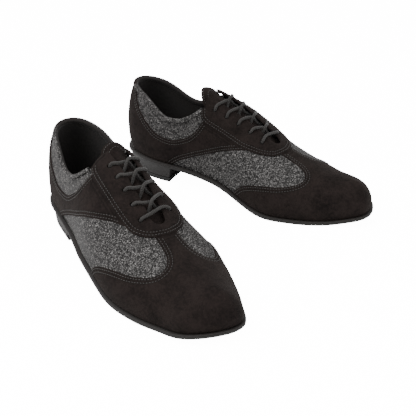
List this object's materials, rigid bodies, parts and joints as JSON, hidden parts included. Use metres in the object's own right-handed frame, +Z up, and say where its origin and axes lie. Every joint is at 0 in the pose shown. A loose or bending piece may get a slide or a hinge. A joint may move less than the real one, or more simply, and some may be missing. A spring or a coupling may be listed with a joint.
{
  "type": "lace-up dance shoes",
  "caption": "Pair of low-heeled lace-up dance oxfords in suede and glitter fabric, with wing-tip toes, round laces and folding tongues.",
  "frame": {"origin": "on the floor, under the middle of the pair's box", "axes": "+X is the way the pair points, +Y towards the left shoe, +Z up"},
  "size_m": [0.299, 0.2984, 0.0963],
  "materials": {
    "suede": "brushed black-brown suede, matt",
    "glitter": "grey fabric coated with fine silver glitter",
    "lining": "black woven lining",
    "sock": "smooth black padded footbed cover",
    "sole": "split leather sole with a dark edge",
    "heel": "dark covered heel",
    "top_piece": "black rubber",
    "board": "pressed fibre board",
    "filler": "granular cork sheet",
    "stiffener": "thermoplastic stiffener sheet",
    "steel": "plain steel",
    "lace": "braided dark grey cord",
    "aglet": "shrunk black plastic"
  },
  "bodies": {
    "right_shoe": {"right_vamp": "suede", "right_eyestay": "suede", "right_heel_back_panel": "glitter", "right_lateral_side_panel": "glitter", "right_medial_side_panel": "glitter", "right_lateral_quarter": "suede", "right_medial_quarter": "suede", "right_lateral_collar_insert": "glitter", "right_medial_collar_insert": "glitter", "right_vamp_lining": "lining", "right_quarter_lining": "lining", "right_outsole": "sole", "right_heel_block": "heel", "right_heel_top_piece": "top_piece", "right_insole_board": "board", "right_sock": "sock", "right_shank": "steel", "right_forepart_filler": "filler", "right_heel_screw": "steel", "right_lace": "lace", "right_aglet_1": "aglet", "right_aglet_2": "aglet", "right_topline_binding": "suede", "right_toe_puff": "stiffener", "right_heel_counter": "stiffener"},
    "left_shoe": {"left_vamp": "suede", "left_eyestay": "suede", "left_heel_back_panel": "glitter", "left_lateral_side_panel": "glitter", "left_medial_side_panel": "glitter", "left_lateral_quarter": "suede", "left_medial_quarter": "suede", "left_lateral_collar_insert": "glitter", "left_medial_collar_insert": "glitter", "left_vamp_lining": "lining", "left_quarter_lining": "lining", "left_outsole": "sole", "left_heel_block": "heel", "left_heel_top_piece": "top_piece", "left_insole_board": "board", "left_sock": "sock", "left_shank": "steel", "left_forepart_filler": "filler", "left_heel_screw": "steel", "left_lace": "lace", "left_aglet_1": "aglet", "left_aglet_2": "aglet", "left_topline_binding": "suede", "left_toe_puff": "stiffener", "left_heel_counter": "stiffener"},
    "right_tongue": {"right_tongue": "suede"},
    "left_tongue": {"left_tongue": "suede"}
  },
  "joints": [
    {"name": "left_shoe_lift", "type": "slide", "parent": "right_shoe", "child": "left_shoe", "axis": [0, 0, 1], "range_m": [0, 0.15]},
    {"name": "right_tongue_fold", "type": "hinge", "parent": "right_shoe", "child": "right_tongue", "pos_m": [0.054, -0.0944, 0.0486], "axis": [-0.2462, -0.9692, 0], "range_deg": [0, 14]},
    {"name": "left_tongue_fold", "type": "hinge", "parent": "left_shoe", "child": "left_tongue", "pos_m": [0.021, 0.0944, 0.0486], "axis": [0.2462, -0.9692, 0], "range_deg": [0, 14]}
  ]
}
